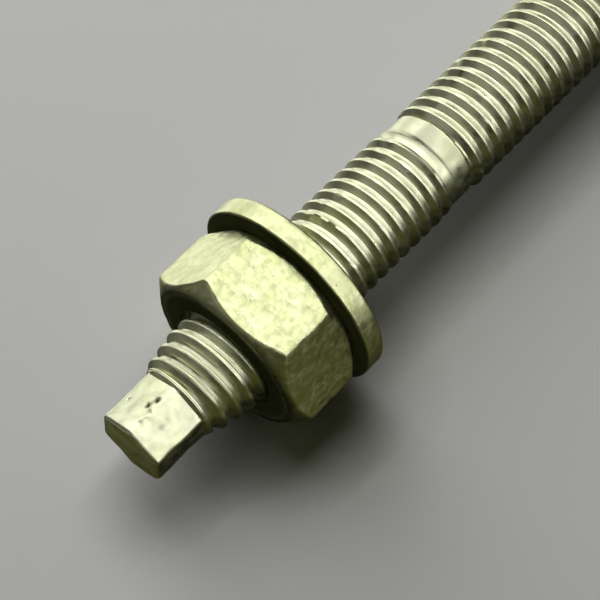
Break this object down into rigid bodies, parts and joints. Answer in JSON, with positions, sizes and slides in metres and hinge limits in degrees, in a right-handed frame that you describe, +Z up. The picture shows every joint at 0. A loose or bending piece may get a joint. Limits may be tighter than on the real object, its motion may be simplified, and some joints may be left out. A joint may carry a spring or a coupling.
{
  "type": "anchor stud",
  "caption": "Threaded anchor stud with a hexagon drive end, depth-mark collar, hexagon nut and flat washer, for bonding into a drilled hole.",
  "frame": {"origin": "on the floor under the middle of the lying stud", "axes": "+X towards the tip, +Z up; the stud leans down towards its tip by about 3 degrees, because it lies on the washer's rim"},
  "size_m": [0.1302, 0.02, 0.0201],
  "materials": {
    "stud_zinc": "hot-dip zinc, yellow-green tint, satin",
    "nut_zinc": "hot-dip zinc, yellow-green tint, mottled",
    "washer_zinc": "hot-dip zinc, yellow-green tint, satin"
  },
  "bodies": {
    "stud": {"stud": "stud_zinc"},
    "washer": {"washer": "washer_zinc"},
    "nut": {"nut": "nut_zinc"}
  },
  "joints": [
    {"name": "washer_slide", "type": "slide", "parent": "stud", "child": "washer", "axis": [0.999, 0, -0.0449], "range_m": [-0.01201, 0.01651]},
    {"name": "nut_turn", "type": "hinge", "parent": "washer", "child": "nut", "pos_m": [-0.04925, 0, 0.01006], "axis": [0.999, 0, -0.0449], "range_deg": [-2880, 3960]}
  ],
  "couplings": [
    {"joint": "washer_slide", "follows": "nut_turn", "m_per_rad": 0.00023873}
  ]
}
